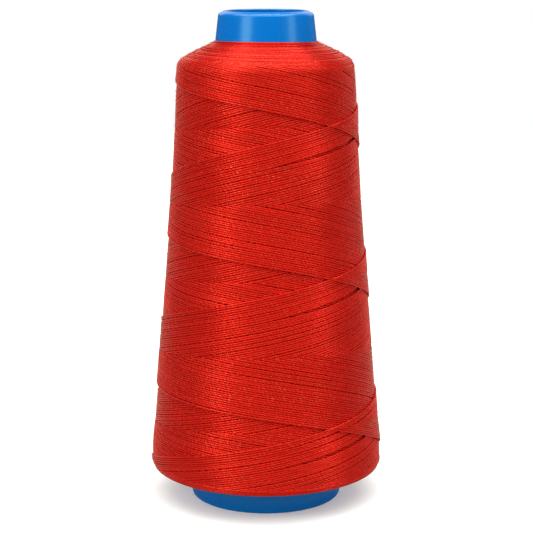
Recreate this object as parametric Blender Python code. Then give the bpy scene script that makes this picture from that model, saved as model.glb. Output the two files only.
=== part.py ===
"""Cone of sewing thread: a hollow tapered plastic core, standing on its foot, with thread cross-wound on it.

Metres, +Z up. The origin is the middle of the foot's seat, and +Z runs up the core's axis.
The front of the winding is towards -Y. Angles round the axis start at the front and grow towards +X.
"""

import math
from typing import NamedTuple

import bpy

MM = 0.001

# Core
HEIGHT = 170 * MM  # seat of the foot to the top of the rim
FOOT_RADIUS = 26.3 * MM
FOOT_EDGE = 0.6 * MM  # rounding round the seat
FOOT_WALL = 2.4 * MM
COLLAR_HEIGHT = 157 * MM  # where the long taper turns into the steeper neck
COLLAR_RADIUS = 17.6 * MM
NECK_TOP_RADIUS = 16.3 * MM
RIM_OUTER = 1.2 * MM  # rounding of the rim's outer corner
RIM_INNER = 0.5 * MM  # rounding of its inner corner; the rim stands inwards of the wall
RIM_SLOPE = 0.95 * MM  # width of the sloping face from the outer corner up to the rim's ridge
RIM_DROP = 0.55 * MM  # how much lower the outer corner is than the ridge
NECK_TOP = HEIGHT - RIM_DROP - RIM_OUTER  # where the neck's steep side ends
WALL = 1.8 * MM
CORE_SEGMENTS = 64
ARC_STEPS = 5

# Winding
GAP = 0.3 * MM  # between the core and the innermost thread
WINDING_SEGMENTS = 80
FLANK_ROWS = 40
RELIEF = 0.3 * MM  # height of the step where a new layer of thread lies on an old one
STEP_WIDTH = 0.1  # share of a pitch that the step is spread over
RELIEF_FADE = 6 * MM  # the steps die out over this height at both ends of the flank


class Station(NamedTuple):
    """One ring of the winding's outline."""

    height_mm: float
    radius_mm: float


SHOULDER = (
    Station(height_mm=159.2, radius_mm=18.7),
    Station(height_mm=157.5, radius_mm=22.5),
    Station(height_mm=156.2, radius_mm=25.4),
    Station(height_mm=154.8, radius_mm=27.8),
    Station(height_mm=153.5, radius_mm=29.5),
    Station(height_mm=152.0, radius_mm=30.4),
)
FLANK = (
    Station(height_mm=150.0, radius_mm=30.65),
    Station(height_mm=129.5, radius_mm=31.9),
    Station(height_mm=105.0, radius_mm=33.45),
    Station(height_mm=84.0, radius_mm=35.2),
    Station(height_mm=48.0, radius_mm=38.2),
    Station(height_mm=30.0, radius_mm=39.7),
    Station(height_mm=15.0, radius_mm=40.9),
)
LOWER_EDGE = (
    Station(height_mm=12.8, radius_mm=40.8),
    Station(height_mm=11.5, radius_mm=40.15),
    Station(height_mm=10.8, radius_mm=38.9),
    Station(height_mm=10.35, radius_mm=32.4),
)
WINDING_TOP = 159.7 * MM
WINDING_BOTTOM = 10.2 * MM


class Family(NamedTuple):
    """The parallel turns that one direction of the traverse lays, as the edge of its newest turns."""

    edge_height_mm: float  # of the newest edge, at the front
    pitch_mm: float
    side: int  # the way the edge goes round as it runs down: +1 with the angle, -1 against it
    sway: float  # how far the traverse runs ahead and behind within a turn
    lift_mm: float  # how far the turns stand higher at the front than at the sides
    lift_step_mm: float  # what each turn further down adds to that


FALLING = Family(edge_height_mm=135.3, pitch_mm=53.0, side=1, sway=-0.22, lift_mm=3.7, lift_step_mm=2.0)
CLIMBING = Family(edge_height_mm=126.0, pitch_mm=50.2, side=-1, sway=-0.04, lift_mm=2.5, lift_step_mm=0.1)
FIRST_TURN = -3  # turns are counted down the edge from its front pass near the top
LAST_TURN = 4


def clear_scene():
    for old in list(bpy.data.objects):
        bpy.data.objects.remove(old, do_unlink=True)


def finish(name, color, roughness):
    """A plain Principled material."""
    material = bpy.data.materials.new(name)
    material.use_nodes = True
    shader = material.node_tree.nodes["Principled BSDF"]
    shader.inputs["Base Color"].default_value = (*color, 1)
    shader.inputs["Roughness"].default_value = roughness
    shader.inputs["Metallic"].default_value = 0
    return material


def arc(centre, radius, start, end, steps=ARC_STEPS):
    """Points of a round stretch of a section, as (distance from the axis, height)."""
    turns = [start + (end - start) * step / steps for step in range(steps + 1)]
    return [(centre[0] + radius * math.cos(a), centre[1] + radius * math.sin(a)) for a in turns]


def turned(name, section, segments, material, shift=None):
    """A closed ring solid: the closed section, which runs down its outer side, is turned round +Z.

    shift, where given, moves a point of the section outwards by shift(angle, point's index).
    """
    points = []
    for segment in range(segments):
        angle = 2 * math.pi * segment / segments
        for index, (radius, height) in enumerate(section):
            reach = radius + (shift(angle, index) if shift else 0)
            points.append((reach * math.sin(angle), -reach * math.cos(angle), height))
    size = len(section)
    faces = []
    for segment in range(segments):
        here = segment * size
        there = (segment + 1) % segments * size
        for index in range(size):
            after = (index + 1) % size
            faces.append((here + index, here + after, there + after, there + index))
    mesh = bpy.data.meshes.new(name)
    mesh.from_pydata(points, [], faces)
    mesh.materials.append(material)
    mesh.shade_smooth()
    mesh.set_sharp_from_angle(angle=math.radians(40))
    solid = bpy.data.objects.new(name, mesh)
    bpy.context.scene.collection.objects.link(solid)
    return solid


def core_radius(height):
    """Outer radius of the core at a height, below its rounded rim."""
    if height <= COLLAR_HEIGHT:
        share = height / COLLAR_HEIGHT
        return FOOT_RADIUS + (COLLAR_RADIUS - FOOT_RADIUS) * share
    share = (height - COLLAR_HEIGHT) / (NECK_TOP - COLLAR_HEIGHT)
    return COLLAR_RADIUS + (NECK_TOP_RADIUS - COLLAR_RADIUS) * share


def make_core(material):
    """The hollow core: rolled rim, steep neck, long taper, foot with a flat seat."""
    corner = NECK_TOP_RADIUS - RIM_OUTER
    ridge = corner - RIM_SLOPE
    inner_rim = arc((ridge, HEIGHT - RIM_INNER), RIM_INNER, math.pi, math.pi / 2)
    outer_rim = arc((corner, NECK_TOP), RIM_OUTER, math.pi * 0.42, 0)
    rim = inner_rim + outer_rim
    foot_centre = (FOOT_RADIUS - FOOT_EDGE, FOOT_EDGE)
    foot = arc(foot_centre, FOOT_EDGE, 0, -math.pi / 2)
    lip_height = NECK_TOP - 3 * MM  # where the bore has widened to the wall's thickness
    seat_height = 9 * MM  # below this the wall thickens to the foot's
    inside = [
        (FOOT_RADIUS - FOOT_WALL, 0),
        (core_radius(seat_height) - WALL, seat_height),
        (core_radius(COLLAR_HEIGHT) - WALL, COLLAR_HEIGHT),
        (core_radius(lip_height) - WALL, lip_height),
    ]
    section = rim + [(COLLAR_RADIUS, COLLAR_HEIGHT)] + foot + inside
    return turned("cone_core", section, CORE_SEGMENTS, material)


def newest_edge(family, turns):
    """Height of a family's newest edge after that many turns down it, counted from its upper front pass."""
    angle = 2 * math.pi * turns
    run = turns + family.sway * math.sin(angle) / (2 * math.pi)
    lift = (family.lift_mm + family.lift_step_mm * turns) * math.cos(angle)
    return (family.edge_height_mm - family.pitch_mm * run + lift) * MM


def age(family, angle, height):
    """How old the family's layer is at a place: 0 at its newest edge, up to 1 where the next edge is near.

    Turns that fall with the angle are newest just above their edge, and those that climb just below it.
    """
    share = family.side * angle / (2 * math.pi)
    for turn in range(FIRST_TURN, LAST_TURN + 1):
        above = newest_edge(family, turn + share)
        below = newest_edge(family, turn + 1 + share)
        if below <= height < above:
            break
    sunk = (height - below) / (above - below)
    return sunk if family.side > 0 else 1 - sunk


def drop(family, angle, height):
    """How far a family's layer has sunk at a place: from 0, newest, to 1, with the step itself softened."""
    old = age(family, angle, height)
    if old > 1 - STEP_WIDTH:
        return (1 - old) / STEP_WIDTH
    return old / (1 - STEP_WIDTH)


def flank_stations():
    """The flank's stations at even heights."""
    top = FLANK[0].height_mm
    bottom = FLANK[-1].height_mm
    rows = []
    for row in range(FLANK_ROWS):
        height = top + (bottom - top) * row / (FLANK_ROWS - 1)
        for above, below in zip(FLANK, FLANK[1:]):
            if height >= below.height_mm:
                break
        share = (above.height_mm - height) / (above.height_mm - below.height_mm)
        radius = above.radius_mm + (below.radius_mm - above.radius_mm) * share
        rows.append(Station(height, radius))
    return rows


def make_winding(material):
    """The wound thread: sloping shoulder, flank with the steps of its crossing layers, rounded lower edge."""
    outline = [*SHOULDER, *flank_stations(), *LOWER_EDGE]
    outer = [(station.radius_mm * MM, station.height_mm * MM) for station in outline]
    inner = [
        (core_radius(WINDING_BOTTOM) + GAP, WINDING_BOTTOM),
        (core_radius(COLLAR_HEIGHT) + GAP, COLLAR_HEIGHT),
        (core_radius(WINDING_TOP) + GAP, WINDING_TOP),
    ]
    top = FLANK[0].height_mm * MM
    bottom = FLANK[-1].height_mm * MM

    def relief(angle, index):
        if index >= len(outer):
            return 0
        height = outer[index][1]
        near_end = min(top - height, height - bottom)
        if near_end <= 0:
            return 0
        sunk = drop(FALLING, angle, height) + drop(CLIMBING, angle, height)
        return -RELIEF * sunk * min(1, near_end / RELIEF_FADE)

    return turned("thread_winding", outer + inner, WINDING_SEGMENTS, material, relief)


def main():
    clear_scene()
    make_core(finish("moulded plastic", color=(0.0, 0.17, 0.64), roughness=0.3))
    make_winding(finish("spun thread", color=(0.66, 0.025, 0.02), roughness=0.85))


main()
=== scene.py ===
"""Cone of sewing thread: the looks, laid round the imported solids.

Metres, +Z up; the origin is the middle of the foot's seat and the winding's front is towards -Y.
Angles round the axis start at the front and grow towards +X. Sizes that end in _mm are millimetres.
"""

import logging
import math
from dataclasses import dataclass, field
from enum import Enum
from typing import Any, Iterable, Sequence

import bpy
import numpy as np
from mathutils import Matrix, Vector


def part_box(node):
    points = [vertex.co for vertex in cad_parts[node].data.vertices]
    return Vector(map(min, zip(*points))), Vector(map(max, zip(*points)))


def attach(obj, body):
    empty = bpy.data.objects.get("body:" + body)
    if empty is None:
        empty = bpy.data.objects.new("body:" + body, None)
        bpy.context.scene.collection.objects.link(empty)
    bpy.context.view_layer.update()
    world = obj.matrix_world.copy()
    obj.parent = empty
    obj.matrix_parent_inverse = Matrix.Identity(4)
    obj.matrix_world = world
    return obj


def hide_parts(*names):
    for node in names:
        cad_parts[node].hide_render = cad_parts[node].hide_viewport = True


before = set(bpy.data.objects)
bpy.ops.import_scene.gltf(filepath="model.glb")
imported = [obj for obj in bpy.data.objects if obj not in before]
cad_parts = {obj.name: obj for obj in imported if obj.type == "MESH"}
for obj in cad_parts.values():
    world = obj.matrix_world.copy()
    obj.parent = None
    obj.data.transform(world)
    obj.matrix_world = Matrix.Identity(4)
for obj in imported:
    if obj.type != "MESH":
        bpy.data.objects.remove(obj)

MM = 0.001
TURN = 2 * math.pi
SEED = 7

MATH = "ShaderNodeMath"
NOISE = "ShaderNodeTexNoise"
COMBINE = "ShaderNodeCombineXYZ"
BUMP = "ShaderNodeBump"
WHITE = (1.0, 1.0, 1.0, 1.0)
STEEPEST = 40.0  # keeps an exponential within what a number holds

log = logging.getLogger("cone")


# Colour and node helpers


def linear(colour: str) -> tuple[float, float, float, float]:
    """Turns an sRGB colour to linear.

    Args:
        colour: Six hex digits.

    Returns:
        Red, green, blue and an alpha of 1.
    """
    parts = [int(colour[i : i + 2], 16) / 255 for i in (0, 2, 4)]
    bent = [p / 12.92 if p <= 0.04045 else ((p + 0.055) / 1.055) ** 2.4 for p in parts]
    return (bent[0], bent[1], bent[2], 1.0)


def wire(tree: bpy.types.NodeTree, node: bpy.types.Node, *values: Any, **inputs: Any) -> None:
    """Sets or links a node's inputs.

    Args:
        tree: The tree that holds the node.
        node: The node.
        values: What goes into its first inputs: numbers, sockets, or nodes, which give their first output.
        inputs: The same for inputs by name, with underscores for spaces.
    """
    sockets = [socket for socket in node.inputs if socket.enabled]
    by_name = {socket.name: socket for socket in reversed(sockets)}
    pairs = list(zip(sockets, values))
    pairs += [(by_name[name.replace("_", " ")], value) for name, value in inputs.items()]
    for socket, value in pairs:
        if isinstance(value, bpy.types.Node):
            value = next(output for output in value.outputs if output.enabled)
        if isinstance(value, bpy.types.NodeSocket):
            tree.links.new(value, socket)
        else:
            socket.default_value = value


def add(tree: bpy.types.NodeTree, kind: str, *values: Any, **named: Any) -> Any:
    """Adds a node with its settings, values and links.

    Args:
        tree: The tree that gets the node.
        kind: The node's type.
        values: What goes into its first inputs, as for wire.
        named: Settings, whose names start with a small letter, and inputs, whose names start with a capital.

    Returns:
        The node.
    """
    node = tree.nodes.new(kind)
    settings = {name: value for name, value in named.items() if name[0].islower()}
    for name, value in settings.items():
        setattr(node, name, value)
    wire(tree, node, *values, **{name: value for name, value in named.items() if name not in settings})
    return node


def new_material(name: str) -> tuple[bpy.types.Material, bpy.types.NodeTree, bpy.types.Node]:
    """Starts a material.

    Args:
        name: What the real material is.

    Returns:
        The material, its tree and its Principled BSDF.
    """
    made = bpy.data.materials.new(name)
    made.use_nodes = True
    return made, made.node_tree, made.node_tree.nodes["Principled BSDF"]


# The wound form, in the same numbers as the solid's outline


@dataclass(frozen=True)
class Station:
    """One ring of the winding's outline."""

    height_mm: float
    radius_mm: float


SHOULDER = (
    Station(height_mm=159.7, radius_mm=17.6),
    Station(height_mm=159.2, radius_mm=18.7),
    Station(height_mm=157.5, radius_mm=22.5),
    Station(height_mm=156.2, radius_mm=25.4),
    Station(height_mm=154.8, radius_mm=27.8),
    Station(height_mm=153.5, radius_mm=29.5),
    Station(height_mm=152.0, radius_mm=30.4),
)
FLANK = (
    Station(height_mm=150.0, radius_mm=30.65),
    Station(height_mm=129.5, radius_mm=31.9),
    Station(height_mm=105.0, radius_mm=33.45),
    Station(height_mm=84.0, radius_mm=35.2),
    Station(height_mm=48.0, radius_mm=38.2),
    Station(height_mm=30.0, radius_mm=39.7),
    Station(height_mm=15.0, radius_mm=40.9),
)
LOWER_EDGE = (
    Station(height_mm=12.8, radius_mm=40.8),
    Station(height_mm=11.5, radius_mm=40.15),
    Station(height_mm=10.8, radius_mm=38.9),
    Station(height_mm=10.35, radius_mm=32.4),
    Station(height_mm=10.2, radius_mm=26.0),
)


@dataclass
class Outline:
    """The winding's outline as a smooth curve, met by its run: the height on the flank, and beyond it the way
    along the shoulder upwards or round the lower edge downwards."""

    stations: tuple[Station, ...] = SHOULDER + FLANK + LOWER_EDGE
    runs: np.ndarray = field(init=False)
    points: np.ndarray = field(init=False)
    slopes: np.ndarray = field(init=False)

    def __post_init__(self) -> None:
        """Measures the run of each station, from the flank's top outwards, and the curve's slope there."""
        points = np.array([(s.radius_mm, s.height_mm) for s in reversed(self.stations)])
        steps = np.hypot(*np.diff(points, axis=0).T)
        runs = np.concatenate([[0.0], np.cumsum(steps)])
        flank_low = len(LOWER_EDGE)
        flank_high = flank_low + len(FLANK) - 1
        low, high = points[flank_low, 1], points[flank_high, 1]
        on_flank = low + (high - low) * (runs - runs[flank_low]) / (runs[flank_high] - runs[flank_low])
        below = low + (runs - runs[flank_low])
        above = high + (runs - runs[flank_high])
        place = np.arange(len(runs))
        self.runs = np.where(place < flank_low, below, np.where(place > flank_high, above, on_flank))
        self.points = points
        self.slopes = np.gradient(points, self.runs, axis=0)

    @property
    def top(self) -> float:
        """The run at the neck, in mm."""
        return float(self.runs[-1])

    @property
    def bottom(self) -> float:
        """The run at the foot, in mm."""
        return float(self.runs[0])

    def at(self, run: np.ndarray, sunk: np.ndarray | float = 0.0) -> tuple[np.ndarray, np.ndarray]:
        """Finds places on or under the outline.

        Args:
            run: The runs, in mm.
            sunk: How far under the outline, square to it, in mm.

        Returns:
            Radii and heights, in mm.
        """
        run = np.clip(run, self.runs[0], self.runs[-1])
        index = np.clip(np.searchsorted(self.runs, run, side="right") - 1, 0, len(self.runs) - 2)
        span = (self.runs[index + 1] - self.runs[index])[..., None]
        t = ((run - self.runs[index]) / span[..., 0])[..., None]
        start, end = self.points[index], self.points[index + 1]
        go, come = self.slopes[index] * span, self.slopes[index + 1] * span
        place = (
            (2 * t**3 - 3 * t**2 + 1) * start
            + (t**3 - 2 * t**2 + t) * go
            + (3 * t**2 - 2 * t**3) * end
            + (t**3 - t**2) * come
        )
        along = 6 * (t**2 - t) * (start - end) + (3 * t**2 - 4 * t + 1) * go + (3 * t**2 - 2 * t) * come
        along = along / np.linalg.norm(along, axis=-1, keepdims=True)
        return place[..., 0] - sunk * along[..., 1], place[..., 1] + sunk * along[..., 0]

    def strip(self, first: float, last: float, rings: int, sunk_mm: float, ground_mm: float) -> np.ndarray:
        """Makes the section of a thin ring that follows the outline.

        Args:
            first: Run at its upper end, in mm.
            last: Run at its lower end, in mm.
            rings: Points along it.
            sunk_mm: How far its outer face lies under the outline.
            ground_mm: How far its inner face does.

        Returns:
            Radius and height of each point, in metres.
        """
        runs = np.linspace(first, last, rings)
        outer = np.stack(self.at(runs, sunk_mm), axis=-1)
        inner = np.stack(self.at(runs[::-1], ground_mm), axis=-1)
        return np.concatenate([outer, inner]) * MM


def round_axis(radius: np.ndarray, angle: np.ndarray, height: np.ndarray) -> np.ndarray:
    """Turns radii and heights in mm, at angles round the axis, into points in metres."""
    return np.stack([radius * np.sin(angle), -radius * np.cos(angle), height], axis=-1) * MM


# The laws of the winding


@dataclass(frozen=True)
class Slip:
    """A turn that has slipped aside and left a dark gap."""

    age: float  # which turn: the share of a pitch behind the newest edge
    angle: float  # middle of the gap, in degrees round from the front
    spread: float  # half its length, in degrees
    opening_mm: float
    near_turn: float | None = None  # only on the pass that many turns down, or on every pass
    reach: float = 3.0  # threads beside it that give way
    trench_mm: float = 0.32  # how deep the layer below has sunk into a gap that is on every pass

    def window(self, degrees: np.ndarray) -> np.ndarray:
        """How open the gap is at angles round the axis, from 0 to 1."""
        away = (degrees - self.angle + 180) % 360 - 180
        return np.clip(1 - (away / self.spread) ** 2, 0, 1)


@dataclass(frozen=True)
class SmallSlips:
    """The many small slips that chance leaves."""

    often: float = 0.5  # how many on each thread in a turn
    spread: tuple[float, float] = (0.06, 0.3)  # half their length, in turns
    opening_mm: tuple[float, float] = (0.1, 0.42)
    reach: float = 2.0


def parted(gap: np.ndarray, reach: float) -> np.ndarray:
    """Returns which way turns beside a gap give way, and how much less those further off do."""
    return np.sign(gap) * np.exp(-np.abs(gap) / reach)


@dataclass(frozen=True)
class Family:
    """The parallel turns that one direction of the traverse lays, as the edge of its newest turns."""

    name: str
    edge_height_mm: float  # of the newest edge, at the front
    pitch_mm: float
    side: int  # the way the edge goes round as it runs down: +1 with the angle, -1 against it
    sway: float  # how far the traverse runs ahead and behind within a turn
    lift_mm: float  # how far the turns stand higher at the front than at the sides
    lift_step_mm: float  # what each turn further down adds to that
    groove_mm: float  # how much deeper the oldest turns lie, beside the newest edge
    slips: tuple[Slip, ...] = ()
    passes: range = range(-4, 7)  # turns counted from the upper front pass, more than the winding holds

    def edge(self, turns: np.ndarray) -> np.ndarray:
        """Finds the newest edge.

        Args:
            turns: Turns down the edge from its upper front pass.

        Returns:
            Its runs there, in mm.
        """
        angle = TURN * turns
        way = turns + self.sway * np.sin(angle) / TURN
        lift = (self.lift_mm + self.lift_step_mm * turns) * np.cos(angle)
        return self.edge_height_mm - self.pitch_mm * way + lift

    def run(self, turns: np.ndarray, age: np.ndarray) -> np.ndarray:
        """Run of the turns of an age, in mm: the edge is newest, and climbing turns age downwards from it."""
        return (1 - age) * self.edge(turns) + age * self.edge(turns - self.side)

    def age(self, angle: np.ndarray, run: np.ndarray) -> np.ndarray:
        """Finds how old this family's layer is at places on the winding.

        Args:
            angle: Angles round the axis, in radians.
            run: Runs along the outline, in mm.

        Returns:
            Ages, 0 at the newest edge and up to 1 just before the next one.
        """
        share = self.side * angle / TURN
        share = share - np.floor(share)
        best = np.full(run.shape, 0.5)
        for turn in self.passes:
            above = self.edge(turn + share)
            below = self.edge(turn + 1 + share)
            inside = (run >= below) & (run < above)
            part = (run - below) / (above - below)
            best = np.where(inside, part if self.side > 0 else 1 - part, best)
        return best

    def trench(self, angle: np.ndarray, run: np.ndarray, count: int) -> np.ndarray:
        """Finds how deep the layer under this family's slipped turns has sunk into their gaps.

        Args:
            angle: Angles round the axis, in radians.
            run: Runs along the outline, in mm.
            count: How many threads this family has.

        Returns:
            Depths, in mm.
        """
        place = self.age(angle, run) * count
        deep = np.zeros(run.shape)
        for slip in self.slips:
            if slip.near_turn is None:
                beside = (place - round(slip.age * count)) / (0.5 + slip.opening_mm)
                deep = deep + slip.trench_mm * slip.window(np.degrees(angle)) * np.exp(-(beside**2))
        return deep


FALLING = Family(
    name="falling",
    edge_height_mm=135.3,
    pitch_mm=53.0,
    side=1,
    sway=-0.22,
    lift_mm=3.7,
    lift_step_mm=2.0,
    groove_mm=0.38,
)
CLIMBING = Family(
    name="climbing",
    edge_height_mm=126.0,
    pitch_mm=50.2,
    side=-1,
    sway=-0.04,
    lift_mm=2.5,
    lift_step_mm=0.1,
    groove_mm=0.15,
    slips=(
        Slip(age=0.17, angle=50.0, spread=48.0, opening_mm=1.3),
        Slip(age=0.045, angle=48.0, spread=40.0, opening_mm=0.8, near_turn=1.85),
        Slip(age=0.095, angle=44.0, spread=42.0, opening_mm=0.7, near_turn=1.85),
    ),
)


@dataclass(frozen=True)
class EndTurns:
    """A layer of nearly flat turns at one end of the traverse."""

    first: float  # run of the first turn, next to the flank, in mm
    fall_mm: float  # how far the first turns fall from the left side of the front to the right
    deeper_mm: float  # how far this layer lies under the outermost turns
    fall_power: float = 1.5  # how soon that fall fades, away from the flank
    closeness: float = 0.9  # spacing, as a share of the flank's
    length: float = 1.03  # of each one, in turns
    lean_mm: tuple[float, float] = (0.1, 0.5)  # how far one lies aslant
    wave_mm: tuple[float, float] = (0.0, 0.2)  # how far it bows, twice in its round
    uneven_mm: float = 0.12  # how far it lies higher or lower than its neighbours
    clear_mm: tuple[float, float] = (0.3, 0.25)  # least way to the outline's lower and upper end
    tuck_mm: float = 0.55  # how far its ends go down
    tuck_length: float = 0.12  # over what angle, in radians
    under_mm: float = 0.5  # how far the first turns go under the flank's
    under_reach_mm: float = 2.5


SHOULDER_TURNS = (
    EndTurns(first=152.6, fall_mm=1.8, deeper_mm=0.25),
    EndTurns(first=152.4, fall_mm=1.8, deeper_mm=0.6),
)
LOWER_TURNS = (
    EndTurns(first=14.0, fall_mm=0.0, deeper_mm=0.1),
    EndTurns(first=14.0, fall_mm=0.0, deeper_mm=0.5),
)


@dataclass(frozen=True)
class NeckTurn:
    """One of the last turns, which climbs the neck a little at the front."""

    rise_mm: float
    start: float  # where it comes out of the winding, in degrees
    end: float  # where it goes back in


NECK_TURNS = (
    NeckTurn(rise_mm=1.5, start=-118.0, end=92.0),
    NeckTurn(rise_mm=1.1, start=-88.0, end=128.0),
)


@dataclass(frozen=True)
class Fuzz:
    """Loose fibre ends on a stretch of the winding."""

    name: str
    density: float  # to the square metre
    length_mm: float
    thickness_mm: float  # a real fibre is about 0.015, too fine to show
    sunk_mm: float  # how deep they are rooted
    ground_mm: float  # how deep the ring that carries them reaches
    rings: int


FIBRE_ENDS = Fuzz(
    name="winding_fibre_ends",
    density=60000.0,
    length_mm=1.1,
    thickness_mm=0.035,
    sunk_mm=0.35,
    ground_mm=1.2,
    rings=100,
)
NECK_FIBRES = Fuzz(
    name="winding_neck_fibres",
    density=900000.0,
    length_mm=0.8,
    thickness_mm=0.045,
    sunk_mm=0.15,
    ground_mm=0.7,
    rings=12,
)


# Finishes


class Map(Enum):
    """Names of the UV maps that the threads carry."""

    THREAD = "Thread"  # mm along the thread, and the share of the way round it
    BAKE = "OFBake"  # the same faces laid out in rows, for baked pictures


@dataclass(frozen=True)
class SpunThread:
    """Spun polyester sewing thread, two plies twisted: a soft sheen on round plies, painted shade in the
    groove between them, painted highlights on single fibres, and loose fibre ends that catch the light."""

    colour: str = "CC0903"
    # painted shade: the darker colour of the groove between plies
    groove: str = "B40702"
    # pale colour of the painted highlights on single fibres, laid on the top of each ply
    fibre: str = "FF765E"
    plies: int = 2
    lay_mm: float = 2.9  # length in which a ply goes once round; a real one is about 0.9, too fine to show
    squareness: float = 3.5  # how flat a ply's top is and how steep its sides
    fibre_stretch: tuple[float, float, float] = (5.0, 0.7, 3.0)  # fibres to a ply, to a mm, to a round
    fibre_height: float = 0.3  # how far fibres stand out, beside the roundness of a ply
    painted_glint_power: float = 8.0  # how few fibres get the painted highlight
    painted_glint_gain: float = 7.0
    darkest: float = 0.84
    thread_spread: float = 0.14  # how unlike each other threads are dyed
    dye_spread: float = 0.24  # how uneven the dye is along them
    dye_mm: float = 11.11  # width of a cloud of uneven dye
    bump: float = 0.3
    bump_mm: float = 0.12
    roughness: float = 0.27
    rougher: float = 0.12  # where fibres lie rough
    smoother: float = 0.08  # where they lie flat and glint
    glint: tuple[float, float] = (0.35, 0.65)  # where the noise makes them rough and where flat
    metallic: float = 0.4  # part of the light has gone through the fibres, so it is red like the dye
    specular: float = 0.36
    specular_tint: str = "FFC890"
    sheen: float = 0.11
    sheen_roughness: float = 0.3
    sheen_tint: str = "FF7450"
    # painted shade: colours of the inner layers, darker than the thread, for the shade in the gaps between
    # turns
    gap_shade_dark: str = "7C0402"
    gap_shade_light: str = "A80804"
    packed_mm: float = 0.7143  # width of a packed turn
    packed_flat: tuple[float, float, float] = (0.3, 0.3, 1.0)  # draws the turns long round the winding
    packed_bump: float = 0.5
    packed_bump_mm: float = 0.2
    packed_roughness: float = 0.9

    def material(self) -> bpy.types.Material:
        """Builds the thread's material, which reads the thread's own UV map.

        Returns:
            The material.
        """
        made, tree, shader = new_material("spun polyester thread")
        parts = add(tree, "ShaderNodeSeparateXYZ", add(tree, "ShaderNodeUVMap", uv_map=Map.THREAD.value))
        along, around = parts.outputs["X"], parts.outputs["Y"]
        # A ply's place on the thread: whole numbers are the grooves between plies.
        back = add(tree, MATH, around, -float(self.plies), operation="MULTIPLY")
        turned_ply = add(tree, MATH, along, self.plies / self.lay_mm, back, operation="MULTIPLY_ADD")
        across = add(tree, MATH, turned_ply, operation="FRACT")
        centred = add(tree, MATH, across, 2.0, -1.0, operation="MULTIPLY_ADD")
        from_middle = add(tree, MATH, centred, operation="ABSOLUTE")
        hollow = add(tree, MATH, from_middle, self.squareness, operation="POWER")
        dome = add(tree, MATH, 1.0, hollow, operation="SUBTRACT")
        # Fibres run along the ply, so they are drawn long that way and fine across it.
        places = zip((turned_ply, along, around), self.fibre_stretch)
        stretched = [add(tree, MATH, place, stretch, operation="MULTIPLY") for place, stretch in places]
        fibre = add(tree, NOISE, add(tree, COMBINE, *stretched), Scale=1.0, Detail=2.0, Roughness=0.6)
        # Painted highlight: the pale fibre colour is laid on sparse fibres at the top of each ply, where they
        # would glint.
        few = add(tree, MATH, fibre, self.painted_glint_power, operation="POWER")
        painted_glint = add(tree, MATH, few, self.painted_glint_gain, operation="MULTIPLY")
        painted_glint_on_ply = add(tree, MATH, painted_glint, dome, operation="MULTIPLY")
        # Painted shade: the colour darkens from the top of each ply into the groove between plies.
        body = add(tree, "ShaderNodeMix", dome, linear(self.groove), linear(self.colour), data_type="RGBA")
        pale = add(tree, "ShaderNodeMix", painted_glint_on_ply, body, linear(self.fibre), data_type="RGBA")
        # Each thread has a shade of its own, and the dye is a little uneven along it.
        own = add(tree, "ShaderNodeAttribute", attribute_name="thread").outputs["Fac"]
        shade = add(tree, "ShaderNodeTexWhiteNoise", noise_dimensions="1D", W=own).outputs["Value"]
        value = add(tree, MATH, shade, self.thread_spread, self.darkest, operation="MULTIPLY_ADD")
        place = add(tree, "ShaderNodeTexCoord").outputs["Object"]
        dye = add(tree, NOISE, place, Scale=1 / (self.dye_mm * MM), Detail=2.0)
        value = add(tree, MATH, dye, self.dye_spread, value, operation="MULTIPLY_ADD")
        height = add(tree, MATH, fibre, self.fibre_height, dome, operation="MULTIPLY_ADD")
        # Single fibres that lie flat glint, and the rough ones between them do not.
        rough, flat = self.roughness + self.rougher, self.roughness - self.smoother
        wire(
            tree,
            shader,
            Base_Color=add(tree, "ShaderNodeHueSaturation", Value=value, Color=pale),
            Normal=add(tree, BUMP, Strength=self.bump, Distance=self.bump_mm * MM, Height=height),
            Roughness=add(tree, "ShaderNodeMapRange", fibre, *self.glint, rough, flat),
            Metallic=self.metallic,
            Specular_IOR_Level=self.specular,
            Specular_Tint=linear(self.specular_tint),
            Sheen_Weight=self.sheen,
            Sheen_Roughness=self.sheen_roughness,
            Sheen_Tint=linear(self.sheen_tint),
        )
        return made

    def packed(self) -> bpy.types.Material:
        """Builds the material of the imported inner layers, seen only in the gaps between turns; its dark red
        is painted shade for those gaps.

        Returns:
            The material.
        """
        made, tree, shader = new_material("packed inner thread")
        place = add(tree, "ShaderNodeTexCoord").outputs["Object"]
        flattened = add(tree, "ShaderNodeMapping", place, Scale=self.packed_flat)
        turns = add(tree, NOISE, flattened, Scale=1 / (self.packed_mm * MM), Detail=1.0)
        # Painted shade: the inner layers are coloured far darker than the thread, for the shade in the gaps
        # between turns.
        dark, light = linear(self.gap_shade_dark), linear(self.gap_shade_light)
        depth = self.packed_bump_mm * MM
        wire(
            tree,
            shader,
            Base_Color=add(tree, "ShaderNodeMix", turns, dark, light, data_type="RGBA"),
            Normal=add(tree, BUMP, Strength=self.packed_bump, Distance=depth, Height=turns),
            Roughness=self.packed_roughness,
        )
        return made


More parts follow.
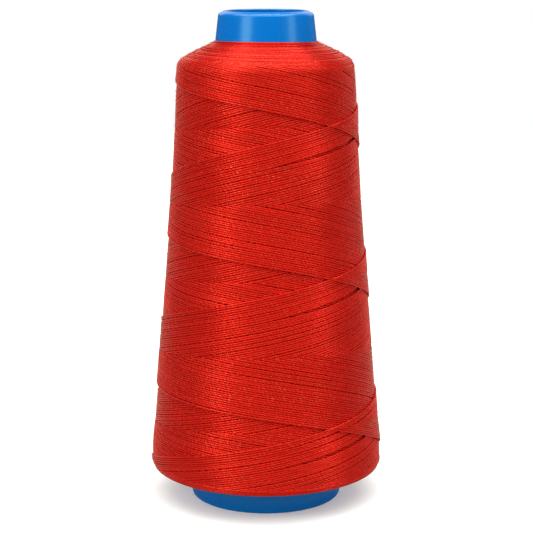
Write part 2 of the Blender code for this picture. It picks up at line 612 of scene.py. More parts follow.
@dataclass(frozen=True)
class MouldedPolypropylene:
    """Polypropylene, injection moulded in a polished tool: an even body colour under a soft gloss, with
    slight flow waves and hair-fine handling marks."""

    colour: str = "006CBE"
    roughness: float = 0.24
    worn: float = 0.05  # how much rougher the handling marks are
    wave_mm: float = 9.0
    wave_shade: float = 0.10  # how much paler the crest of a wave is than its trough
    darkest: float = 0.95
    scuff_mm: float = 1.2
    scuff_draw: tuple[float, float, float] = (1.0, 1.0, 0.15)  # draws the marks long up the cone
    scuff_depth: float = 0.01  # beside the height of the waves
    marks: tuple[float, float] = (0.45, 0.75)  # where the noise starts a mark and where it is full
    bump: float = 0.2
    bump_mm: float = 0.1
    ior: float = 1.49
    specular: float = 0.45
    specular_tint: str = "B4FFF6"

    def material(self) -> bpy.types.Material:
        """Builds the plastic's material on Object coordinates.

        Returns:
            The material.
        """
        made, tree, shader = new_material("moulded polypropylene")
        place = add(tree, "ShaderNodeTexCoord").outputs["Object"]
        flow = add(tree, NOISE, place, Scale=1 / (self.wave_mm * MM), Detail=2.0)
        drawn = add(tree, "ShaderNodeMapping", place, Scale=self.scuff_draw)
        scuffs = add(tree, NOISE, drawn, Scale=1 / (self.scuff_mm * MM), Detail=4.0, Roughness=0.7)
        value = add(tree, MATH, flow, self.wave_shade, self.darkest, operation="MULTIPLY_ADD")
        height = add(tree, MATH, scuffs, self.scuff_depth, flow, operation="MULTIPLY_ADD")
        smooth, worn = self.roughness, self.roughness + self.worn
        wire(
            tree,
            shader,
            Base_Color=add(tree, "ShaderNodeHueSaturation", Value=value, Color=linear(self.colour)),
            Roughness=add(tree, "ShaderNodeMapRange", scuffs, *self.marks, smooth, worn),
            Normal=add(tree, BUMP, Strength=self.bump, Distance=self.bump_mm * MM, Height=height),
            IOR=self.ior,
            Specular_IOR_Level=self.specular,
            Specular_Tint=linear(self.specular_tint),
        )
        return made


# Mesh helpers


def new_object(name: str, data: Any) -> bpy.types.Object:
    """Puts an object in the scene, at the origin.

    Args:
        name: The object's name.
        data: Its mesh, light or camera.

    Returns:
        The object.
    """
    made = bpy.data.objects.new(name, data)
    bpy.context.scene.collection.objects.link(made)
    return made


def mesh_object(
    name: str, points: np.ndarray, faces: Sequence[Sequence[int]], edges: Sequence[Sequence[int]] = ()
) -> bpy.types.Object:
    """Makes a mesh object at the origin.

    Args:
        name: The object's name.
        points: Points in metres.
        faces: Corner numbers of each face.
        edges: End numbers of each loose edge.

    Returns:
        The object, in the scene.
    """
    mesh = bpy.data.meshes.new(name)
    mesh.from_pydata(np.asarray(points).tolist(), list(edges), list(faces))
    return new_object(name, mesh)


def turned(name: str, section: np.ndarray, segments: int) -> bpy.types.Object:
    """Turns a closed section round +Z.

    Args:
        name: The object's name.
        section: Radius and height in metres of each point, running down the outer side.
        segments: Steps round the axis.

    Returns:
        A closed ring, shaded smooth.
    """
    angles = np.arange(segments) * TURN / segments
    radius, height = section.T
    points = np.stack(
        [
            np.outer(np.sin(angles), radius),
            -np.outer(np.cos(angles), radius),
            np.outer(np.ones(segments), height),
        ],
        axis=-1,
    )
    size = len(section)
    here = np.arange(segments)[:, None] * size
    there = np.roll(here, -1, axis=0)
    index = np.arange(size)
    after = (index + 1) % size
    faces = np.stack([here + index, here + after, there + after, there + index], axis=-1)
    made = mesh_object(name, points.reshape(-1, 3), faces.reshape(-1, 4).tolist())
    made.data.shade_smooth()
    return made


def plain_mesh(source: bpy.types.Object, name: str) -> bpy.types.Object:
    """Turns an object with live modifiers into a plain mesh object and removes the source.

    Args:
        source: The object to evaluate.
        name: The new object's name.

    Returns:
        The plain mesh object, at the origin.
    """
    graph = bpy.context.evaluated_depsgraph_get()
    mesh = bpy.data.meshes.new_from_object(source.evaluated_get(graph), depsgraph=graph)
    mesh.name = name
    bpy.data.objects.remove(source, do_unlink=True)
    return new_object(name, mesh)


def arc(
    centre: tuple[float, float], radius: float, start: float, end: float, steps: int
) -> list[tuple[float, float]]:
    """Points of a round stretch of a section, from one angle to another, in the units given."""
    angles = np.linspace(start, end, steps + 1)
    return [(centre[0] + radius * math.cos(a), centre[1] + radius * math.sin(a)) for a in angles]


# Geometry Nodes


class NodeTool:
    """A Geometry Nodes tree with named inputs, which is run on a carrier object and leaves a plain mesh."""

    def __init__(self, name: str, **inputs: str) -> None:
        """Starts the tree with its inputs; the last one is the finish.

        Args:
            name: What the tree does.
            inputs: The kind of each input, such as Float or Int, by name with underscores for spaces.
        """
        self.name = name
        self.tree = bpy.data.node_groups.new(name, "GeometryNodeTree")
        sockets = self.tree.interface
        sockets.new_socket("Geometry", in_out="OUTPUT", socket_type="NodeSocketGeometry")
        for key, kind in {"Geometry": "Geometry", **inputs, "Finish": "Material"}.items():
            sockets.new_socket(key.replace("_", " "), in_out="INPUT", socket_type=f"NodeSocket{kind}")
        self.given = add(self.tree, "NodeGroupInput").outputs

    def end(self, shape: bpy.types.Node) -> None:
        """Ends the tree: instances made real, the finish set, the geometry put out.

        Args:
            shape: The node that gives the finished shape.
        """
        real = add(self.tree, "GeometryNodeRealizeInstances", shape)
        dressed = add(self.tree, "GeometryNodeSetMaterial", real, Material=self.given["Finish"])
        add(self.tree, "NodeGroupOutput", dressed)

    def run(self, carrier: bpy.types.Object, name: str, **values: Any) -> bpy.types.Object:
        """Runs the tree on a carrier.

        Args:
            carrier: The object that holds the tree's geometry; it is used up.
            name: The name of the piece.
            values: The tree's inputs, by name with underscores for spaces.

        Returns:
            The piece, a plain mesh.
        """
        modifier = carrier.modifiers.new(self.name, "NODES")
        modifier.node_group = self.tree
        items = self.tree.interface.items_tree
        by_name = {item.name: item.identifier for item in items if item.in_out == "INPUT"}
        for key, value in values.items():
            modifier[by_name[key.replace("_", " ")]] = value
        return plain_mesh(carrier, name)


class ThreadLayer(NodeTool):
    """Sweeps a slightly flat round section along paths, and lets each path waver a little by itself."""

    apart = 17.3  # how far apart threads lie in the noise that makes them waver

    def __init__(self) -> None:
        """Builds the tree."""
        super().__init__(
            "lay thread on paths",
            Width="Float",
            Thickness="Float",
            Waver="Float",
            Waver_Length="Float",
            Sides="Int",
            Seed="Int",
        )
        tree, given = self.tree, self.given
        mark = {"data_type": "FLOAT", "domain": "POINT"}
        curve = add(tree, "GeometryNodeMeshToCurve", given["Geometry"])
        way = add(tree, "GeometryNodeSplineParameter").outputs["Length"]
        own = add(tree, "GeometryNodeInputNamedAttribute", data_type="FLOAT", Name="thread")
        waves = add(tree, MATH, way, given["Waver Length"], operation="DIVIDE")
        row = add(tree, MATH, own, self.apart, operation="MULTIPLY")
        noise = add(tree, NOISE, add(tree, COMBINE, waves, row, given["Seed"]), Scale=1.0, Detail=1.0)
        centred = add(tree, MATH, noise, 0.5, operation="SUBTRACT")
        shift = add(tree, MATH, centred, given["Waver"], operation="MULTIPLY")
        both_ways = add(tree, MATH, shift, 2.0, operation="MULTIPLY")
        moved = add(tree, "GeometryNodeSetPosition", curve, Offset=add(tree, COMBINE, Z=both_ways))
        upright = add(tree, "GeometryNodeSetCurveNormal", moved, mode="Z_UP")
        measured = add(tree, "GeometryNodeStoreNamedAttribute", upright, Name="along", Value=way, **mark)
        circle = add(
            tree, "GeometryNodeCurvePrimitiveCircle", mode="RADIUS", Resolution=given["Sides"], Radius=0.5
        )
        size = add(tree, COMBINE, given["Thickness"], given["Width"], 1.0)
        half_turn = (0.0, 0.0, math.pi)  # the section's seam faces the axis
        flat = add(tree, "GeometryNodeTransform", circle, Scale=size, Rotation=half_turn)
        share = add(tree, "GeometryNodeSplineParameter").outputs["Factor"]
        marked = add(tree, "GeometryNodeStoreNamedAttribute", flat, Name="around", Value=share, **mark)
        tube = add(tree, "GeometryNodeCurveToMesh", measured, marked, Fill_Caps=True)
        self.end(add(tree, "GeometryNodeSetShadeSmooth", tube))


class FibreScatter(NodeTool):
    """Scatters short bent fibre ends over a surface."""

    bend = 0.45  # how far along and up a fibre's bend is, as a share of its length
    rise = 0.35  # how high its tip stands
    lengths = (0.4, 1.3)  # shortest and longest, as shares of the length given
    length_seed = 3

    def __init__(self) -> None:
        """Builds the tree."""
        super().__init__("scatter fibre ends", Density="Float", Length="Float", Thickness="Float", Seed="Int")
        tree, given = self.tree, self.given
        random = "FunctionNodeRandomValue"
        spots = add(
            tree,
            "GeometryNodeDistributePointsOnFaces",
            given["Geometry"],
            Density=given["Density"],
            Seed=given["Seed"],
        )
        reach = add(tree, MATH, given["Length"], self.bend, operation="MULTIPLY")
        up = add(tree, MATH, given["Length"], self.rise, operation="MULTIPLY")
        bent = add(
            tree,
            "GeometryNodeCurveQuadraticBezier",
            Resolution=4,
            Start=(0.0, 0.0, 0.0),
            Middle=add(tree, COMBINE, X=reach, Z=reach),
            End=add(tree, COMBINE, X=given["Length"], Z=up),
        )
        half = add(tree, MATH, given["Thickness"], 0.5, operation="MULTIPLY")
        section = add(tree, "GeometryNodeCurvePrimitiveCircle", mode="RADIUS", Resolution=3, Radius=half)
        fibre = add(tree, "GeometryNodeCurveToMesh", bent, section, Fill_Caps=True)
        spin = add(tree, random, data_type="FLOAT", Min=0.0, Max=TURN, Seed=given["Seed"])
        turn = add(tree, "FunctionNodeAxisAngleToRotation", Axis=(0.0, 0.0, 1.0), Angle=spin)
        stance = add(
            tree, "FunctionNodeRotateRotation", spots.outputs["Rotation"], turn, rotation_space="LOCAL"
        )
        low, high = self.lengths
        size = add(tree, random, data_type="FLOAT", Min=low, Max=high, Seed=self.length_seed)
        self.end(
            add(
                tree,
                "GeometryNodeInstanceOnPoints",
                spots.outputs["Points"],
                Instance=fibre,
                Rotation=stance,
                Scale=size,
            )
        )


# Sub-assemblies


def core_sizes() -> tuple[float, float]:
    """Returns the solid core's height and the radius of its foot, in mm."""
    low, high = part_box("cone_core")
    return high[2] / MM, (high[0] - low[0]) / 2 / MM


@dataclass
class ConeCore:
    """The hollow moulded core: rolled rim, steep neck, long taper, foot with a flat seat."""

    rim_outer_mm: float = 1.2
    rim_inner_mm: float = 0.5
    rim_slope_mm: float = 0.95  # width of the sloping face between the rim's outer corner and its ridge
    rim_drop_mm: float = 0.55
    rim_lean: float = 0.42 * math.pi  # angle at which both roundings meet that face
    rim_end: float = 0.08  # angle at which the outer rounding meets the neck
    neck_top_radius_mm: float = 16.3
    neck_rings_mm: tuple[float, ...] = (165.0, 161.0)
    collar_radius_mm: float = 17.6
    collar_height_mm: float = 157.0
    taper_rings_mm: tuple[float, ...] = (80.0, 12.0, 4.0)
    foot_edge_mm: float = 0.6
    foot_start: float = 0.05  # angle at which the foot's rounding leaves the taper
    foot_wall_mm: float = 2.4
    foot_height_mm: float = 9.0  # where the thicker wall of the foot ends
    wall_mm: float = 1.8
    lip_mm: float = 3.0  # how far under the rim's corner the wall starts to thicken
    segments: int = 192
    small_steps: int = 8
    rim_steps: int = 12
    sharp: float = 50.0  # edges above this many degrees stay crisp

    def radius(self, height: float, top: float, foot: float) -> float:
        """Finds how wide the core is at a height below its rounded rim.

        Args:
            height: The height, in mm.
            top: The core's height, in mm.
            foot: Radius of its foot, in mm.

        Returns:
            The outer radius, in mm.
        """
        if height <= self.collar_height_mm:
            return foot + (self.collar_radius_mm - foot) * (height / self.collar_height_mm)
        neck = top - self.rim_drop_mm - self.rim_outer_mm - self.collar_height_mm
        share = (height - self.collar_height_mm) / neck
        return self.collar_radius_mm + (self.neck_top_radius_mm - self.collar_radius_mm) * share

    def section(self) -> np.ndarray:
        """Draws the core's section on the solid's sizes.

        Returns:
            Radius and height of each point, in metres.
        """
        top, foot = core_sizes()
        corner = self.neck_top_radius_mm - self.rim_outer_mm
        corner_height = top - self.rim_drop_mm - self.rim_outer_mm
        ridge = (corner - self.rim_slope_mm, top - self.rim_inner_mm)
        edge = (foot - self.foot_edge_mm, self.foot_edge_mm)
        outer_heights = (*self.neck_rings_mm, self.collar_height_mm, *self.taper_rings_mm)
        inner_heights = (self.foot_height_mm, self.collar_height_mm, corner_height - self.lip_mm)
        points = arc(ridge, self.rim_inner_mm, math.pi, self.rim_lean, self.small_steps)
        points += arc(
            (corner, corner_height), self.rim_outer_mm, self.rim_lean, self.rim_end, self.rim_steps
        )
        points += [(self.radius(h, top, foot), h) for h in outer_heights]
        points += arc(edge, self.foot_edge_mm, self.foot_start, -math.pi / 2, self.small_steps)
        points += [(foot - self.foot_wall_mm, 0.0)]
        points += [(self.radius(h, top, foot) - self.wall_mm, h) for h in inner_heights]
        return np.array(points) * MM

    def build(self, finish: MouldedPolypropylene) -> bpy.types.Object:
        """Builds the core and dresses it.

        Args:
            finish: The plastic.

        Returns:
            The piece.
        """
        piece = turned("core_cone_core", self.section(), self.segments)
        piece.data.set_sharp_from_angle(angle=math.radians(self.sharp))
        piece.data.materials.append(finish.material())
        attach(piece, "root")
        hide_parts("cone_core")
        return piece


@dataclass
class Winding:
    """The wound thread: packed inner layers, the outer turns of both families, the end turns on the
    shoulder and round the lower edge, and loose fibre ends."""

    outline: Outline = field(default_factory=Outline)
    core: ConeCore = field(default_factory=ConeCore)
    finish: SpunThread = field(default_factory=SpunThread)
    thread_spacing_mm: float = 0.77  # a real thread is about 0.3, too fine to show, so it is drawn coarser
    thread_width_mm: float = 0.71
    thread_thickness_mm: float = 0.60
    uneven_mm: float = 0.045  # how unevenly the threads are spaced
    layer_mm: float = 0.42  # height of the step where a newer layer lies on an older one
    crossing: float = 3.0  # how suddenly turns dip under the ones that cross them
    proud_mm: float = 0.12  # how far the newest turns stand out of the solid's outline
    edge_turn_mm: float = 0.12  # how much further the newest turn of all does
    edge_turn_reach: float = 1.2  # threads in which that fades
    groove_reach: float = 2.2  # threads in which the groove beside the newest edge fades
    pressed: float = 0.6  # how much of its groove a family presses into the other one
    laid_mm: tuple[float, float] = (160.0, 12.0)  # heights that the turns are laid out between
    spare_turns: float = 1.5  # laid out beyond them
    upper: float = 158.0  # run where the turns end, under the shoulder's
    lower: float = 9.0  # run where they end, under the lower edge's
    tuck_mm: float = 0.5  # how far their ends go down there
    tuck_reach_mm: float = 3.0
    fewest_points: int = 4  # of a path that is kept
    end_gap_mm: float = 0.2  # between the last end turn and the end of the outline
    neck_height_mm: float = 158.6  # where the neck turns come out
    neck_power: float = 0.6  # how soon they reach their full height
    neck_points: int = 60
    inner_sunk_mm: float = 1.9
    inner_least_mm: float = 18.0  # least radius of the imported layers' outer side
    inner_bore_mm: float = 17.95  # radius of their bore at the neck
    inner_foot_mm: float = 0.2  # how much narrower than the foot their bore is below
    inner_rings: int = 120
    inner_segments: int = 160
    neck_fuzz_mm: float = 2.2  # how far down from the neck the denser fuzz reaches
    fuzz_segments: int = 96
    steps_per_turn: int = 84
    sides: int = 8
    waver_mm: float = 0.06
    waver_length_mm: float = 22.0
    phase_mm: float = 11.0  # how far apart along the thread the twist starts
    bake_rows_mm: float = 0.32  # how much thread one texel of a baked picture covers
    bake_side: int = 1024  # texels in a row
    bake_margin_mm: float = 4.0  # spare thread at a row's ends
    bake_pad: float = 0.06  # spare share at a row's sides

    def inner(self, packed: bpy.types.Material) -> bpy.types.Object:
        """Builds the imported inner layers, a closed ring a little under the outer turns.

        Args:
            packed: Their material.

        Returns:
            The piece.
        """
        foot = core_sizes()[1]
        runs = np.linspace(self.outline.top, self.outline.bottom, self.inner_rings)
        radius, height = self.outline.at(runs, self.inner_sunk_mm)
        outer = np.stack([np.maximum(radius, self.inner_least_mm), height], axis=-1)
        bore = np.array([(foot - self.inner_foot_mm, height[-1]), (self.inner_bore_mm, height[0])])
        piece = turned("winding_inner", np.concatenate([outer, bore]) * MM, self.inner_segments)
        piece.data.materials.append(packed)
        return piece

    def threads(self, family: Family) -> int:
        """Returns how many threads a family has."""
        return round(family.pitch_mm / self.thread_spacing_mm)

    def sink(
        self, own: np.ndarray, other: np.ndarray, count: int, grooves: tuple[float, float]
    ) -> np.ndarray:
        """Works out how deep turns lie.

        They go down with their own age and with the other family's there, by one more layer where that
        family is newer and crosses over them, and into the groove beside each family's newest edge.

        Args:
            own: Ages of the turns.
            other: Ages of the other family where they lie.
            count: How many threads there are.
            grooves: How deep their own groove and the other family's are, in mm.

        Returns:
            Depths under the outline, in mm.
        """
        covered = 1 / (1 + np.exp(np.clip((other - own) * count * self.crossing, -STEEPEST, STEEPEST)))
        edge_turn = self.edge_turn_mm * np.exp(-own * count / self.edge_turn_reach)
        mine = grooves[0] * np.exp(-(1 - own) * count / self.groove_reach)
        theirs = self.pressed * grooves[1] * np.exp(-(1 - other) * count / self.groove_reach)
        return self.layer_mm * (own + other + covered) - self.proud_mm - edge_turn + (mine + theirs)

    def slipped(
        self, family: Family, count: int, turns: np.ndarray, rng: np.random.Generator
    ) -> np.ndarray:
        """Works out how far each turn has slipped along the outline.

        Args:
            family: The family of turns.
            count: How many threads it has.
            turns: The turns at which the slip is wanted.
            rng: The source of chance.

        Returns:
            A row for each thread, in mm.
        """
        middles = np.arange(count)[:, None] + 0.5
        moved = rng.normal(0.0, self.uneven_mm, (count, 1)) + np.zeros((1, len(turns)))
        angle = np.degrees(TURN * turns)[None, :] * family.side
        for slip in family.slips:
            window = slip.window(angle)
            if slip.near_turn is not None:
                window = window * (np.abs(turns[None, :] - slip.near_turn) < 0.5)
            gap = middles - round(slip.age * count)
            moved = moved + parted(gap, slip.reach) * window * slip.opening_mm / 2 * family.side
        small = SmallSlips()
        first, last = turns.min(), turns.max()
        for _ in range(int(count * (last - first) * small.often)):
            middle = rng.uniform(first, last)
            spread = rng.uniform(*small.spread)
            window = np.clip(1 - ((turns[None, :] - middle) / spread) ** 2, 0, 1)
            gap = middles - rng.integers(0, count)
            opening = rng.uniform(*small.opening_mm)
            moved = moved + parted(gap, small.reach) * window * opening / 2 * family.side
        return moved

    def paths(self, family: Family, other: Family, rng: np.random.Generator) -> list[np.ndarray]:
        """Lays out a family's threads.

        Args:
            family: The family.
            other: The family that crosses it.
            rng: The source of chance.

        Returns:
            The points of each thread, in metres, all running round the same way.
        """
        count = self.threads(family)
        high, low = self.laid_mm
        start = (family.edge_height_mm - high) / family.pitch_mm - self.spare_turns
        end = (family.edge_height_mm - low) / family.pitch_mm + self.spare_turns
        turns = np.arange(start, end, 1 / self.steps_per_turn)
        ages = ((np.arange(count) + 0.5) / count)[:, None]
        runs = family.run(turns[None, :], ages) + self.slipped(family, count, turns, rng)
        angle = family.side * TURN * turns[None, :] + np.zeros_like(runs)
        grooves = (family.groove_mm, other.groove_mm)
        deep = self.sink(ages + np.zeros_like(runs), other.age(angle, runs), count, grooves)
        near_end = np.minimum(self.upper - runs, runs - self.lower)
        tucked = self.tuck_mm * np.clip(1 - near_end / self.tuck_reach_mm, 0, 1)
        deep = deep + self.thread_thickness_mm / 2 + tucked
        deep = deep + other.trench(angle, runs, self.threads(other))
        radius, height = self.outline.at(runs, deep)
        found = []
        for points, inside in zip(round_axis(radius, angle, height), near_end > 0):
            kept = points[inside]
            if len(kept) >= self.fewest_points:
                found.append(kept if family.side > 0 else kept[::-1])
        return found

    def end_turns(self, layer: EndTurns, last: float, rng: np.random.Generator) -> list[np.ndarray]:
        """Lays out flat turns at one end of the traverse.

        Args:
            layer: Which layer of them.
            last: Run of the last turn, in mm.
            rng: The source of chance.

        Returns:
            The points of each turn, in metres; each turn overlaps its own start a little.
        """
        outline = self.outline
        whole = abs(last - layer.first)
        steps = round(self.steps_per_turn * layer.length)
        low, high = outline.bottom + layer.clear_mm[0], outline.top - layer.clear_mm[1]
        count = round(whole / (self.thread_spacing_mm * layer.closeness))
        found = []
        for middle in np.linspace(layer.first, last, count):
            away = abs(middle - layer.first)
            angle = np.linspace(0.0, TURN * layer.length, steps) + rng.uniform(0, TURN)
            lean = rng.uniform(*layer.lean_mm) * np.cos(angle - rng.uniform(0, TURN))
            wave = rng.uniform(*layer.wave_mm) * np.cos(2 * angle + rng.uniform(0, TURN))
            fall = -layer.fall_mm * (1 - away / whole) ** layer.fall_power * np.sin(angle)
            ends = np.clip(1 - np.minimum(angle - angle[0], angle[-1] - angle) / layer.tuck_length, 0, 1)
            under = np.clip(1 - away / layer.under_reach_mm, 0, 1)
            deep = self.thread_thickness_mm / 2 - self.proud_mm + layer.deeper_mm
            deep = deep + rng.uniform(-layer.uneven_mm, layer.uneven_mm)
            deep = deep + layer.tuck_mm * ends + layer.under_mm * under
            radius, height = outline.at(np.clip(middle + lean + wave + fall, low, high), deep)
            found.append(round_axis(radius, angle, height))
        return found

    def neck_turns(self) -> list[np.ndarray]:
        """Lays out the last turns, which climb the neck at the front and lie under the others elsewhere.

        Returns:
            The points of each turn, in metres.
        """
        top, foot = core_sizes()
        part = np.linspace(0.0, 1.0, self.neck_points)
        found = []
        for turn in NECK_TURNS:
            angle = np.radians(np.linspace(turn.start, turn.end, self.neck_points))
            height = self.neck_height_mm + turn.rise_mm * np.sin(np.pi * part) ** self.neck_power
            neck = np.array([self.core.radius(h, top, foot) for h in height])
            found.append(round_axis(neck + self.thread_thickness_mm / 2, angle, height))
        return found

    def dress(self, piece: bpy.types.Object) -> None:
        """Gives a swept piece its two UV maps from the marks that the sweep left on it.

        Args:
            piece: The piece, a plain mesh with the marks along, around and thread.
        """
        mesh = piece.data
        corners = np.empty(len(mesh.loops), np.int32)
        mesh.loops.foreach_get("vertex_index", corners)
        starts = np.empty(len(mesh.polygons), np.int32)
        sizes = np.empty(len(mesh.polygons), np.int32)
        mesh.polygons.foreach_get("loop_start", starts)
        mesh.polygons.foreach_get("loop_total", sizes)
        marks = {}
        for name in ("along", "around", "thread"):
            values = np.empty(len(mesh.vertices), np.float32)
            mesh.attributes[name].data.foreach_get("value", values)
            marks[name] = values.astype(float)
        face = np.repeat(np.arange(len(sizes)), sizes)
        # The last face of each round runs up to 1 at the seam, where the mark starts again at 0.
        around = marks["around"][corners]
        jump = np.maximum.reduceat(around, starts) - np.minimum.reduceat(around, starts)
        seam = (jump > 0.5) & (sizes == 4)
        around = np.where(seam[face] & (around < 0.5), around + 1.0, around)
        # All the threads end to end, cut into rows of the same length.
        thread = marks["thread"].round().astype(int)
        along = marks["along"][corners] / MM
        lengths = np.zeros(thread.max() + 1)
        np.maximum.at(lengths, thread, marks["along"] / MM)
        offsets = np.concatenate([[0.0], np.cumsum(lengths)[:-1]])
        travelled = along + offsets[thread[corners]]
        middle = np.add.reduceat(travelled, starts) / sizes
        whole = lengths.sum()
        rows = max(1, round(whole / (self.bake_side * self.bake_rows_mm)))
        row_length = whole / rows
        row = np.clip(np.floor(middle / row_length), 0, rows - 1)[face]
        margin, pad = self.bake_margin_mm, self.bake_pad
        across = (travelled - row * row_length + margin) / (row_length + 2 * margin)
        up = (row + pad + around * (1 - 2 * pad)) / rows
        phases = np.random.default_rng(SEED).uniform(0.0, self.phase_mm, len(lengths))
        twist = along + phases[thread[corners]]
        for name, u, v in ((Map.THREAD.value, twist, around), (Map.BAKE.value, across, up)):
            layer = mesh.uv_layers.new(name=name)
            layer.data.foreach_set("uv", np.stack([u, v], axis=-1).astype(np.float32).ravel())
        mesh.uv_layers.active = mesh.uv_layers[Map.THREAD.value]
        mesh.uv_layers[Map.THREAD.value].active_render = True

    def lay(
        self, tool: ThreadLayer, name: str, paths: Sequence[np.ndarray], finish: bpy.types.Material
    ) -> bpy.types.Object:
        """Sweeps threads along paths into one piece.

        Args:
            tool: The tree that sweeps.
            name: The piece's name.
            paths: The points of each thread, in metres.
            finish: The thread's material.

        Returns:
            The piece.
        """
        sizes = [len(path) for path in paths]
        numbers = np.repeat(np.arange(len(paths)), sizes)
        ends = np.stack([np.arange(len(numbers) - 1), np.arange(1, len(numbers))], axis=-1)
        edges = ends[numbers[:-1] == numbers[1:]]
        carrier = mesh_object(f"{name}_paths", np.concatenate(paths), [], edges.tolist())
        mark = carrier.data.attributes.new("thread", "FLOAT", "POINT")
        mark.data.foreach_set("value", numbers.astype(np.float32))
        piece = tool.run(
            carrier,
            name,
            Width=self.thread_width_mm * MM,
            Thickness=self.thread_thickness_mm * MM,
            Waver=self.waver_mm * MM,
            Waver_Length=self.waver_length_mm * MM,
            Sides=self.sides,
            Seed=SEED,
            Finish=finish,
        )
        self.dress(piece)
        return piece

    def fuzz(self, kind: Fuzz, first: float, last: float, finish: bpy.types.Material) -> bpy.types.Object:
        """Scatters loose fibre ends over a stretch of the winding.

        Args:
            kind: Which ends.
            first: Run at the stretch's upper end, in mm.
            last: Run at its lower end, in mm.
            finish: The thread's material.

        Returns:
            The piece.
        """
        ground = self.outline.strip(first, last, kind.rings, kind.sunk_mm, kind.ground_mm)
        return FibreScatter().run(
            turned(f"{kind.name}_ground", ground, self.fuzz_segments),
            kind.name,
            Density=kind.density,
            Length=kind.length_mm * MM,
            Thickness=kind.thickness_mm * MM,
            Seed=SEED,
            Finish=finish,
        )

    def build(self) -> list[bpy.types.Object]:
        """Builds and dresses the winding.

        Returns:
            Its pieces.
        """
        rng = np.random.default_rng(SEED)
        finish = self.finish.material()
        tool = ThreadLayer()
        pieces = [self.inner(self.finish.packed())]
        for family, other in ((FALLING, CLIMBING), (CLIMBING, FALLING)):
            paths = self.paths(family, other, rng)
            half = len(paths) // 2
            for part, some in (("newer", paths[:half]), ("older", paths[half:])):
                pieces.append(self.lay(tool, f"winding_{family.name}_{part}", some, finish))
        pieces.append(self.lay(tool, "winding_neck_turns", self.neck_turns(), finish))
        top, bottom = self.outline.top - self.end_gap_mm, self.outline.bottom + self.end_gap_mm
        for name, layers, last in (("shoulder", SHOULDER_TURNS, top), ("lower", LOWER_TURNS, bottom)):
            turns = [path for layer in layers for path in self.end_turns(layer, last, rng)]
            pieces.append(self.lay(tool, f"winding_{name}_turns", turns, finish))
        neck = self.outline.top
        pieces.append(self.fuzz(FIBRE_ENDS, top, self.lower, finish))
        pieces.append(self.fuzz(NECK_FIBRES, neck, neck - self.neck_fuzz_mm, finish))
        for piece in pieces:
            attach(piece, "root")
            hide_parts("thread_winding")
        return pieces


# The studio


class Hidden(Enum):
    """The way in which a light does not show, by its setting."""

    AS_GLOSS = "visible_glossy"  # it lights surfaces and isn't mirrored in them
    AS_LIGHT = "visible_diffuse"  # it is mirrored in surfaces and doesn't light them


@dataclass(frozen=True)
class Softbox:
    """A soft box, in metres and watts, that faces the middle of the winding or another target."""

    name: str
    place: tuple[float, float, float]
    size: tuple[float, float]
    watts: float
    hidden: Hidden | None = None
    target: tuple[float, float, float] = (0.0, 0.0, 0.09)

    def hang(self) -> None:
        """Hangs the box in the scene."""
        data = bpy.data.lights.new(self.name, "AREA")
        data.shape = "RECTANGLE"
        data.size, data.size_y = self.size
        data.energy = self.watts
        made = new_object(self.name, data)
        made.location = self.place
        way = Vector(self.target) - Vector(self.place)
        made.rotation_euler = way.to_track_quat("-Z", "Y").to_euler()
        if self.hidden:
            setattr(made, self.hidden.value, False)


SOFTBOXES = (
    Softbox("key_left", (-0.84, -0.79, 0.50), (0.50, 0.85), 7.2),
    Softbox("fill_right", (1.02, -0.53, 0.42), (0.36, 0.80), 3.1),
    Softbox("card_right", (1.20, -0.75, 0.45), (1.0, 0.9), 2.0, Hidden.AS_GLOSS),
    Softbox("overhead", (0.08, -0.42, 1.7), (2.8, 2.3), 49.0, target=(0.0, 0.0, 0.0)),
    Softbox("strip_above", (-0.05, 0.35, 1.2), (1.3, 0.6), 14.5, Hidden.AS_LIGHT),
    Softbox("rim_left", (-0.75, 1.1, 0.35), (0.4, 0.7), 5.5, Hidden.AS_GLOSS),
    Softbox("rim_right", (0.75, 1.1, 0.35), (0.4, 0.7), 5.5, Hidden.AS_GLOSS),
    Softbox("strip_behind", (0.15, 1.3, 0.65), (2.6, 0.7), 5.5, Hidden.AS_LIGHT),
)


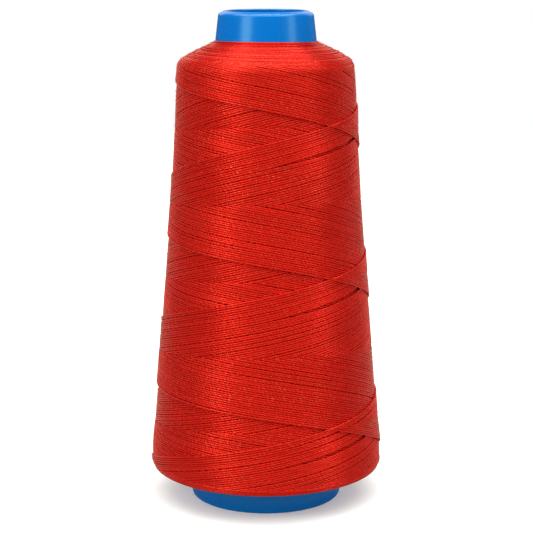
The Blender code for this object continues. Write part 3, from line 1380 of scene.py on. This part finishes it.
@dataclass
class Studio:
    """A plain white floor, soft boxes round the cone, pale surroundings, and the camera."""

    distance_mm: float = 556.7
    height_mm: float = 194.2
    aside_mm: float = 0.17
    look_down: float = 11.447  # degrees
    lens_mm: float = 109.7
    sensor_mm: float = 36.0
    nearest_mm: float = 10.0
    room_light: float = 0.29  # what matt surfaces get from the surroundings, beyond what glossy ones get
    room_gloss: float = 0.06  # what glossy ones get
    floor_reach: float = 1.1  # metres from its middle to its edges
    floor_colour: str = "F6F9F5"
    floor_roughness: float = 0.9
    floor_glow: float = 0.17
    floor_bounce: float = 0.4

    def camera(self) -> None:
        """Places the camera in front, a little above the rim, looking down."""
        data = bpy.data.cameras.new("camera")
        data.lens = self.lens_mm
        data.sensor_width = self.sensor_mm
        data.clip_start = self.nearest_mm * MM
        made = new_object("camera", data)
        made.location = (self.aside_mm * MM, -self.distance_mm * MM, self.height_mm * MM)
        made.rotation_euler = (math.radians(90 - self.look_down), 0.0, 0.0)
        bpy.context.scene.camera = made

    def surroundings(self) -> None:
        """Makes the room pale: white to the camera, dim to the cone."""
        world = bpy.data.worlds.new("studio")
        world.use_nodes = True
        tree = world.node_tree
        path = add(tree, "ShaderNodeLightPath").outputs
        dim = add(
            tree, MATH, path["Is Diffuse Ray"], self.room_light, self.room_gloss, operation="MULTIPLY_ADD"
        )
        bright = add(tree, MATH, dim, path["Is Camera Ray"], operation="MAXIMUM")
        backdrop = next(node for node in tree.nodes if node.type == "BACKGROUND")
        wire(tree, backdrop, Color=WHITE, Strength=bright)
        bpy.context.scene.world = world

    def floor(self) -> None:
        """Lays the floor, matt white board that stays white to its far edge."""
        reach = self.floor_reach
        corners = np.array([(-reach, -reach, 0), (reach, -reach, 0), (reach, reach, 0), (-reach, reach, 0)])
        floor = mesh_object("floor", corners, [(0, 1, 2, 3)])
        made, tree, shader = new_material("matt white board")
        wire(
            tree,
            shader,
            Base_Color=linear(self.floor_colour),
            Roughness=self.floor_roughness,
            Specular_IOR_Level=0.0,
            Emission_Color=WHITE,
            Emission_Strength=self.floor_glow,
        )
        # The board throws less light back on the cone than it shows, so that shadows between turns stay deep.
        bounce = self.floor_bounce
        held = add(tree, "ShaderNodeBsdfDiffuse", (bounce, bounce, bounce, 1.0))
        seen = add(tree, "ShaderNodeLightPath").outputs["Is Camera Ray"]
        out = next(node for node in tree.nodes if node.type == "OUTPUT_MATERIAL")
        wire(tree, out, add(tree, "ShaderNodeMixShader", seen, held, shader))
        floor.data.materials.append(made)

    def build(self) -> None:
        """Sets the stage and the plain, unfiltered view."""
        self.camera()
        for box in SOFTBOXES:
            box.hang()
        self.surroundings()
        self.floor()
        bpy.context.scene.view_settings.view_transform = "Standard"


# The scene


def triangles(piece: bpy.types.Object) -> int:
    """Counts a piece's triangles.

    Args:
        piece: The piece, a plain mesh.

    Returns:
        How many triangles its faces make.
    """
    sizes = np.empty(len(piece.data.polygons), np.int32)
    piece.data.polygons.foreach_get("loop_total", sizes)
    return int((sizes - 2).sum())


def main() -> None:
    """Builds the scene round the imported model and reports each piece."""
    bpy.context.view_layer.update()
    logging.basicConfig(level=logging.INFO, format="%(name)s: %(message)s")
    Studio().build()
    pieces = [ConeCore().build(MouldedPolypropylene()), *Winding().build()]
    counts = [triangles(piece) for piece in pieces]
    for piece, count in zip(pieces, counts):
        log.info("%s: %d triangles", piece.name, count)
    log.info("in all: %d triangles", sum(counts))
    bpy.context.view_layer.update()


if __name__ == "__main__":
    main()
